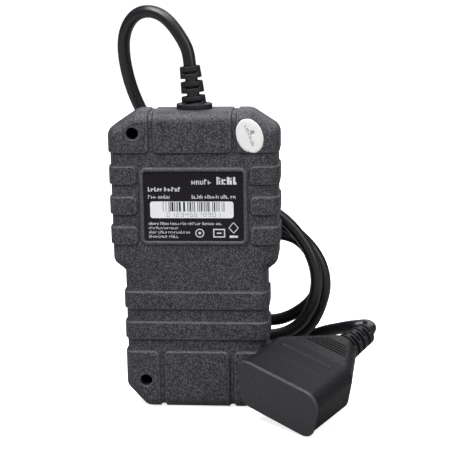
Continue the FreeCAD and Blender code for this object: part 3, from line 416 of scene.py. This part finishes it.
class Sheet:
    """A flat surface facing along -Y or +Y to print on, in millimetres across and up from a corner."""

    def __init__(self, corner, right, up, out, thick_mm=0.02):
        self.corner, self.right, self.up = Vector(corner), Vector(right), Vector(up)
        self.lift = Vector(out) * thick_mm * MM

    def at(self, x, y):
        return self.corner + self.right * (x * MM) + self.up * (y * MM)

    def bar(self, bm, x0, y0, x1, y1):
        prism(bm, [self.at(x0, y0), self.at(x1, y0), self.at(x1, y1), self.at(x0, y1)], self.lift)

    def shape(self, bm, points):
        prism(bm, [self.at(x, y) for x, y in points], self.lift)

    def stroke(self, bm, x0, y0, x1, y1, wide):
        along = Vector((x1 - x0, y1 - y0)).normalized()
        nx, ny = -along.y * wide / 2, along.x * wide / 2
        self.shape(bm, [(x0 + nx, y0 + ny), (x1 + nx, y1 + ny), (x1 - nx, y1 - ny), (x0 - nx, y0 - ny)])

    def ring(self, bm, x, y, radius, wide, sides=20):
        for i in range(sides):
            a0, a1 = (math.tau * k / sides for k in (i, i + 1))
            inner, outer = radius - wide, radius
            self.shape(bm, [(x + inner * math.cos(a0), y + inner * math.sin(a0)),
                            (x + outer * math.cos(a0), y + outer * math.sin(a0)),
                            (x + outer * math.cos(a1), y + outer * math.sin(a1)),
                            (x + inner * math.cos(a1), y + inner * math.sin(a1))])

    def disc(self, bm, x, y, radius, sides=20):
        angles = [math.tau * i / sides for i in range(sides)]
        self.shape(bm, [(x + radius * math.cos(a), y + radius * math.sin(a)) for a in angles])

    def greeked(self, bm, x, y, x_end, high, seed, weight=0.16):
        """A line of print that cannot be read: word-length runs of letter-sized strokes."""
        rng = random.Random(seed)
        stem = high * weight
        while x < x_end:
            for _ in range(rng.randint(3, 8)):
                wide = high * rng.uniform(0.45, 0.7)
                if x + wide > x_end:
                    return
                tall = high * rng.choice((0.72, 0.72, 1.0))
                level = y + rng.choice((0.0, 0.42, 0.85)) * (tall - stem)
                self.bar(bm, x, y, x + stem, y + tall)
                self.bar(bm, x + stem, level, x + wide, level + stem)
                if rng.random() < 0.55:
                    self.bar(bm, x + wide - stem, y, x + wide, y + high * 0.72)
                x += wide + high * 0.16
            x += high * 0.4

    def frame(self, bm, x0, y0, x1, y1, wide):
        """The outline of a rectangle."""
        self.bar(bm, x0, y0, x1, y0 + wide)
        self.bar(bm, x0, y1 - wide, x1, y1)
        self.bar(bm, x0, y0 + wide, x0 + wide, y1 - wide)
        self.bar(bm, x1 - wide, y0 + wide, x1, y1 - wide)


DIGIT_SEGMENTS = {
    # strokes shown: top, upper left, upper right, middle, lower left, lower right, foot
    "0": "1110111", "1": "0010010", "2": "1011101", "3": "1011011", "4": "0111010",
    "5": "1101011", "6": "1101111", "7": "1010010", "8": "1111111", "9": "1111011",
}


def numerals(sheet, bm, text, x, y, wide, high, stroke, gap):
    """Plain seven-stroke numerals."""
    for character in text:
        flags = DIGIT_SEGMENTS.get(character)
        if flags is not None:
            top, mid = y + high, y + high / 2
            lines = [(x, top, x + wide, top), (x, mid, x, top), (x + wide, mid, x + wide, top),
                     (x, mid, x + wide, mid), (x, y, x, mid), (x + wide, y, x + wide, mid),
                     (x, y, x + wide, y)]
            for flag, line in zip(flags, lines):
                if flag == "1":
                    sheet.stroke(bm, *line, stroke)
        x += wide + gap


label_low, label_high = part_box("rating_label")
serial_low, serial_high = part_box("serial_sticker")
# across, up and outward as the rear is looked at
REAR = (1, 0, 0), (0, 0, 1), (0, -1, 0)
label = Sheet(label_low, *REAR)
serial = Sheet(serial_low, *REAR)
label_wide = (label_high.x - label_low.x) / MM
label_tall = (label_high.z - label_low.z) / MM
serial_wide = (serial_high.x - serial_low.x) / MM
serial_tall = (serial_high.z - serial_low.z) / MM


def label_print(bm):
    """Heading, address lines, small print and plain marks, all generic."""
    lines = [
        # left, foot, right, height, weight of the strokes, all but the last in mm
        (18.6, label_tall - 4.9, 27.6, 2.1, 0.18),
        (28.2, label_tall - 4.9, 35.9, 2.9, 0.3),
        (1.7, label_tall - 7.6, 15.4, 1.7, 0.26),
        (1.7, label_tall - 10.4, 10.9, 1.5, 0.16),
        (18.6, label_tall - 10.4, 35.7, 1.5, 0.16),
        (1.7, 6.3, 30.6, 1.15, 0.15),
        (1.7, 4.65, 13.9, 1.0, 0.15),
        (1.7, 2.95, 18.2, 1.1, 0.15),
        (1.7, 1.2, 13.3, 1.25, 0.15),
    ]
    for seed, (left, foot, right, high, weight) in enumerate(lines, start=11):
        label.greeked(bm, left, foot, right, high, seed, weight)
    label.ring(bm, 21.4, 3.1, 1.75, 0.4)
    label.disc(bm, 21.4, 3.1, 0.55)
    label.frame(bm, 26.6, 1.4, 31.2, 4.8, 0.45)
    label.bar(bm, 28.0, 2.85, 29.8, 3.35)
    for side in (-1, 1):
        label.stroke(bm, 34.5, 3.1, 34.5 + side * 1.8, 5.2, 0.3)
        label.stroke(bm, 34.5 + side * 1.8, 5.2, 34.5, 7.3, 0.3)
    label.bar(bm, 32.9, 1.3, 36.1, 2.2)


# blank margins of the bar pattern on its sticker, in mm
BAR_FOOT, BAR_LEFT, BAR_RIGHT = 2.6, 5.0, 3.0


def serial_bars(bm):
    """The bar pattern, from the top edge of the sticker down to its row of numerals."""
    rng = random.Random(31)
    x = BAR_LEFT
    while x < serial_wide - BAR_RIGHT:
        wide = rng.choice((0.2, 0.3, 0.3, 0.5, 0.75))
        serial.bar(bm, x, BAR_FOOT, x + wide, serial_tall - 0.12)
        x += wide + rng.choice((0.25, 0.35, 0.5, 0.9))


def serial_digits(bm):
    """A generic row of counting numerals."""
    numerals(serial, bm, "012345678901", 6.5, 0.62, 1.05, 1.5, 0.17, 0.72)


new_piece("label_print", label_print, "white_ink", "handset")
new_piece("serial_bars", serial_bars, "ink", "handset")
new_piece("serial_digits", serial_digits, "grey_ink", "handset")

# ---------------------------------------------------------------- seal sticker with its wrinkles

seal_low, seal_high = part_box("seal_sticker")
seal_centre = (seal_low + seal_high) / 2
SEAL_TILT = math.radians(70)
# half the oval's length and width, in mm
SEAL_HALF = (6.8, 5.0)
SEAL_LONG = Vector((math.cos(SEAL_TILT), 0, -math.sin(SEAL_TILT)))
SEAL_SHORT = Vector((math.sin(SEAL_TILT), 0, math.cos(SEAL_TILT)))
DRAPE_REACH = 0.5 * MM
DRAPE_LIMIT = 1.0 * MM


def solid_tree(node):
    """A search tree over a CAD node's faces, in world metres."""
    obj = NODES[node]
    corners = [obj.matrix_world @ v.co for v in obj.data.vertices]
    return BVHTree.FromPolygons(corners, [tuple(p.vertices) for p in obj.data.polygons])


case_tree = solid_tree("back_cover")


def drop_at(x, z):
    """How far the rear surface falls away below the seal, bridging the screw hole under it."""
    drops = []
    for dx, dz in ((0, 0), (1, 0), (-1, 0), (0, 1), (0, -1)):
        start = Vector((x + dx * DRAPE_REACH, seal_low.y - DRAPE_LIMIT, z + dz * DRAPE_REACH))
        hit = case_tree.ray_cast(start, Vector((0, 1, 0)))[0]
        if hit is not None:
            drops.append(hit.y - seal_high.y)
    nearest = min(drops, default=DRAPE_LIMIT)
    return 0.0 if nearest > DRAPE_LIMIT else max(0.0, nearest)


def seal_point(u, v):
    """A point on the seal's plane from its own axes in mm."""
    flat = SEAL_LONG * (u * MM) + SEAL_SHORT * (v * MM)
    return Vector((seal_centre.x, 0, seal_centre.z)) + flat


def seal_edge(angle):
    """How far out the rim lies, as a share of the oval, with a torn stretch low on one side."""
    torn = math.exp(-((angle - math.tau + 0.45) / 0.35) ** 2)
    return 1 - 0.006 * (1 + math.sin(angle * 9)) - 0.045 * torn * (1 + math.sin(angle * 31))


def seal_height(x, z):
    """The y of the seal's outer face over a point: draped, softly creased, dented over the hole."""
    dx, dz = (x - seal_centre.x) / MM, (z - seal_centre.z) / MM
    crease = 0.5 + 0.5 * math.sin(2.1 * dx + 1.3 * dz + 2 * math.sin(0.9 * dz))
    dent = math.exp(-((dx - 0.9) ** 2 + (dz - 1.0) ** 2) / 3.2)
    return seal_high.y + drop_at(x, z) - (0.05 + 0.05 * crease * (1 - dent)) * MM


def seal_sheet(bm):
    """A thin oval sheet that follows the case."""
    spokes, circles_out = 96, 14
    levels = []
    for thick in (0.0, 0.04 * MM):
        rows = []
        for k in range(circles_out + 1):
            loop = []
            for i in range(spokes if k else 1):
                angle = math.tau * i / spokes
                reach = k / circles_out * seal_edge(angle)
                spot = seal_point(SEAL_HALF[0] * reach * math.cos(angle),
                                  SEAL_HALF[1] * reach * math.sin(angle))
                loop.append(bm.verts.new((spot.x, seal_height(spot.x, spot.z) + thick, spot.z)))
            rows.append(loop)
        levels.append(rows)
        for inner, outer in zip(rows, rows[1:]):
            for i in range(spokes):
                j = (i + 1) % spokes
                if len(inner) == 1:
                    bm.faces.new((inner[0], outer[i], outer[j]))
                else:
                    bm.faces.new((inner[i], outer[i], outer[j], inner[j]))
    front, rear = levels[0][-1], levels[1][-1]
    for i in range(spokes):
        j = (i + 1) % spokes
        bm.faces.new((front[i], front[j], rear[j], rear[i]))


seal = new_piece("seal_wrinkled", seal_sheet, "seal", "handset")
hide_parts("seal_sticker")
for polygon in seal.data.polygons:
    polygon.use_smooth = True


def laid_on_seal(bm):
    """Moves every corner of a flat print onto the seal's draped face, keeping its thickness."""
    for vert in bm.verts:
        vert.co.y += seal_height(vert.co.x, vert.co.z)


def seal_surface():
    return Sheet(seal_point(0, 0), SEAL_LONG, SEAL_SHORT, (0, -1, 0), 0.02)


def seal_print(bm):
    """One row of print along the seal's long axis."""
    seal_surface().greeked(bm, -4.3, -0.55, 4.3, 1.25, 55, 0.14)
    laid_on_seal(bm)


def seal_line(bm):
    """A fine line just inside the rim."""
    surface = seal_surface()
    steps = 72
    outer_inset, inner_inset = 0.55, 0.68
    for i in range(steps):
        arc = []
        for inset, order in ((outer_inset, (i, i + 1)), (inner_inset, (i + 1, i))):
            long_half, short_half = (half - inset for half in SEAL_HALF)
            for k in order:
                angle = math.tau * k / steps
                arc.append((long_half * math.cos(angle), short_half * math.sin(angle)))
        surface.shape(bm, arc)
    laid_on_seal(bm)


new_piece("seal_print", seal_print, "grey_ink", "handset")
new_piece("seal_line", seal_line, "pale_ink", "handset")

# ---------------------------------------------------------------- display and keypad details

# across, up and outward as the front is looked at
FRONT = (-1, 0, 0), (0, 0, 1), (0, 1, 0)
glass_low, glass_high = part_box("lcd_glass")
lens_low, lens_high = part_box("front_lens")
screen = Sheet((glass_high.x, glass_high.y, glass_low.z), *FRONT)
screen_wide = (glass_high.x - glass_low.x) / MM
screen_tall = (glass_high.z - glass_low.z) / MM


def screen_dots(bm):
    """A heading over a rule, four numbered menu rows and a scroll bar, in the display's dark dots."""
    left, right = 3.4, screen_wide - 3.4
    screen.bar(bm, left, screen_tall - 6.2, right, screen_tall - 5.9)
    screen.greeked(bm, left + 9, screen_tall - 5.2, left + 25, 1.9, 61, 0.2)
    for row in range(4):
        y = screen_tall - 10.4 - row * 5.0
        numerals(screen, bm, str(row + 1), left + 1.0, y, 1.1, 2.2, 0.32, 0.6)
        screen.greeked(bm, left + 4.6, y, left + 26.6 - 4 * (row % 2), 1.9, 70 + row, 0.2)
    screen.bar(bm, right - 1.2, 6.0, right - 0.8, screen_tall - 8.0)
    screen.bar(bm, right - 1.6, screen_tall - 14.0, right - 0.4, screen_tall - 9.0)


new_piece("screen_dots", screen_dots, "ink", "handset")


def key_sheet(node):
    """The top of a key, its corner at the key's middle."""
    low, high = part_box(node)
    return Sheet(((low.x + high.x) / 2, high.y - 0.005 * MM, (low.z + high.z) / 2), *FRONT)


def arrow(sheet, bm, turn):
    """A plain triangle pointing up, turned by quarter turns."""
    c, s = round(math.cos(turn * math.pi / 2)), round(math.sin(turn * math.pi / 2))
    sheet.shape(bm, [(c * x - s * y, s * x + c * y) for x, y in ((-1.5, -0.9), (1.5, -0.9), (0, 1.3))])


for node, turn in (("key_up", 0), ("key_left", 1), ("key_down", 2), ("key_right", 3)):
    new_piece(f"{node}_mark", lambda bm, n=node, t=turn: arrow(key_sheet(n), bm, t), "ink", node)


def tick(bm):
    """A tick on the confirming key."""
    sheet = key_sheet("key_ok")
    sheet.stroke(bm, -1.9, 0.1, -0.6, -1.4, 0.6)
    sheet.stroke(bm, -0.75, -1.35, 2.0, 1.5, 0.6)


def back_mark(bm):
    """An arrow pointing left on the back key."""
    sheet = key_sheet("key_back")
    sheet.stroke(bm, -1.7, 0, 1.8, 0, 0.45)
    sheet.shape(bm, [(-2.6, 0), (-1.2, -1.0), (-1.2, 1.0)])


def help_mark(bm):
    """A ringed information mark on the help key."""
    sheet = key_sheet("key_help")
    sheet.ring(bm, 0, 0, 1.6, 0.35)
    sheet.disc(bm, 0, -0.55, 0.28)
    sheet.bar(bm, -0.2, -0.1, 0.2, 0.9)


new_piece("key_ok_mark", tick, "white_ink", "key_ok")
new_piece("key_back_mark", back_mark, "white_ink", "key_back")
new_piece("key_help_mark", help_mark, "ink", "key_help")


def lens_border(bm):
    """The dark printed border inside the lens, a flat frame round the window."""
    sheet = Sheet((lens_high.x, lens_low.y - 0.03 * MM, lens_low.z), *FRONT)
    wide, tall = (lens_high.x - lens_low.x) / MM, (lens_high.z - lens_low.z) / MM
    edge, side = 0.3, 3.4
    sheet.bar(bm, edge, edge, wide - edge, side)
    sheet.bar(bm, edge, tall - side, wide - edge, tall - edge)
    sheet.bar(bm, edge, side, side, tall - side)
    sheet.bar(bm, wide - side, side, wide - edge, tall - side)


new_piece("lens_border", lens_border, "ink", "handset")

# ---------------------------------------------------------------- floor, light and camera

# the glow of the floor as the camera sees it, and its grey as the model sees it
FLOOR_LIFT = 0.8
FLOOR_BOUNCE = 0.3


def sweep_floor():
    """A pale sweep: floor, a wide bend and a wall far behind."""
    bm = bmesh.new()
    profile = [(-2.5, 0.0), (1.2, 0.0)]
    profile += [(1.2 + 0.6 * math.sin(a), 0.6 - 0.6 * math.cos(a))
                for a in (math.radians(d) for d in range(6, 91, 6))]
    profile.append((1.8, 3.0))
    rows = [[bm.verts.new((x, y, z)) for x in (-3.5, 3.5)] for y, z in profile]
    for before, after in zip(rows, rows[1:]):
        bm.faces.new((before[0], before[1], after[1], after[0]))
    mesh = bpy.data.meshes.new("floor_sweep")
    bm.to_mesh(mesh)
    bm.free()
    for face in mesh.polygons:
        face.use_smooth = True
    floor = bpy.data.objects.new("floor_sweep", mesh)
    bpy.context.scene.collection.objects.link(floor)
    g = Graph("floor_paper")
    fibre = g.noise(3.0, detail=3.0)
    paper = g.mix(fibre, srgb(250, 250, 250), srgb(254, 254, 254))
    seen = g.add("ShaderNodeLightPath").outputs["Is Camera Ray"]
    g.set(Base_Color=g.mix(seen, (FLOOR_BOUNCE,) * 3 + (1.0,), paper), Roughness=0.9)
    g.set(Specular_IOR_Level=0.1, Emission_Color=(1.0, 1.0, 1.0, 1.0))
    g.set(Emission_Strength=g.math("MULTIPLY", seen, FLOOR_LIFT))
    mesh.materials.append(g.material)


sweep_floor()

TARGET = Vector((11.0, 0.0, 72.0)) * MM
CAMERA_REACH = 508 * MM
CAMERA_ROLL = math.radians(-1.0)


def outward(azimuth, elevation):
    """The direction from the model to a place seen at an azimuth from -Y towards +X and an elevation."""
    a, e = math.radians(azimuth), math.radians(elevation)
    return Vector((math.sin(a) * math.cos(e), -math.cos(a) * math.cos(e), math.sin(e)))


def area_light(name, azimuth, elevation, reach, wide, power):
    """A soft panel aimed at the model; reach and wide in metres, power in watts."""
    data = bpy.data.lights.new(name, "AREA")
    data.shape = "RECTANGLE"
    data.size, data.size_y = wide
    data.energy = power
    lamp = bpy.data.objects.new(name, data)
    away = outward(azimuth, elevation)
    lamp.location = TARGET + away * reach
    lamp.rotation_euler = away.to_track_quat("Z", "Y").to_euler()
    bpy.context.scene.collection.objects.link(lamp)


area_light("key_light", -30, 54, 0.75, (0.4, 0.3), 4.6)
area_light("fill_light", 55, 25, 1.0, (0.4, 0.9), 2.6)
area_light("top_light", 0, 84, 0.8, (0.8, 0.4), 5.5)
area_light("rear_light", 170, 35, 1.0, (1.0, 0.6), 3.0)

# the white world is this bright to the model and full white to the camera
WORLD_SHADE = 0.2
world = bpy.data.worlds.new("studio")
world.use_nodes = True
backdrop = world.node_tree.nodes["Background"]
path = world.node_tree.nodes.new("ShaderNodeLightPath")
strength = world.node_tree.nodes.new("ShaderNodeMapRange")
strength.inputs["To Min"].default_value = WORLD_SHADE
strength.inputs["To Max"].default_value = 1.0
world.node_tree.links.new(path.outputs["Is Camera Ray"], strength.inputs["Value"])
world.node_tree.links.new(strength.outputs["Result"], backdrop.inputs["Strength"])
backdrop.inputs["Color"].default_value = (1.0, 1.0, 1.0, 1.0)
bpy.context.scene.world = world
bpy.context.scene.view_settings.view_transform = "Standard"

camera_data = bpy.data.cameras.new("camera")
camera_data.lens = 103.7
camera_data.sensor_width = 36.0
camera_data.clip_start = 0.01
camera = bpy.data.objects.new("camera", camera_data)
view = outward(5.5, 12.0)
camera.location = TARGET + view * CAMERA_REACH
camera.rotation_euler = (view.to_track_quat("Z", "Y") @ Quaternion((0, 0, 1), CAMERA_ROLL)).to_euler()
bpy.context.scene.collection.objects.link(camera)
bpy.context.scene.camera = camera
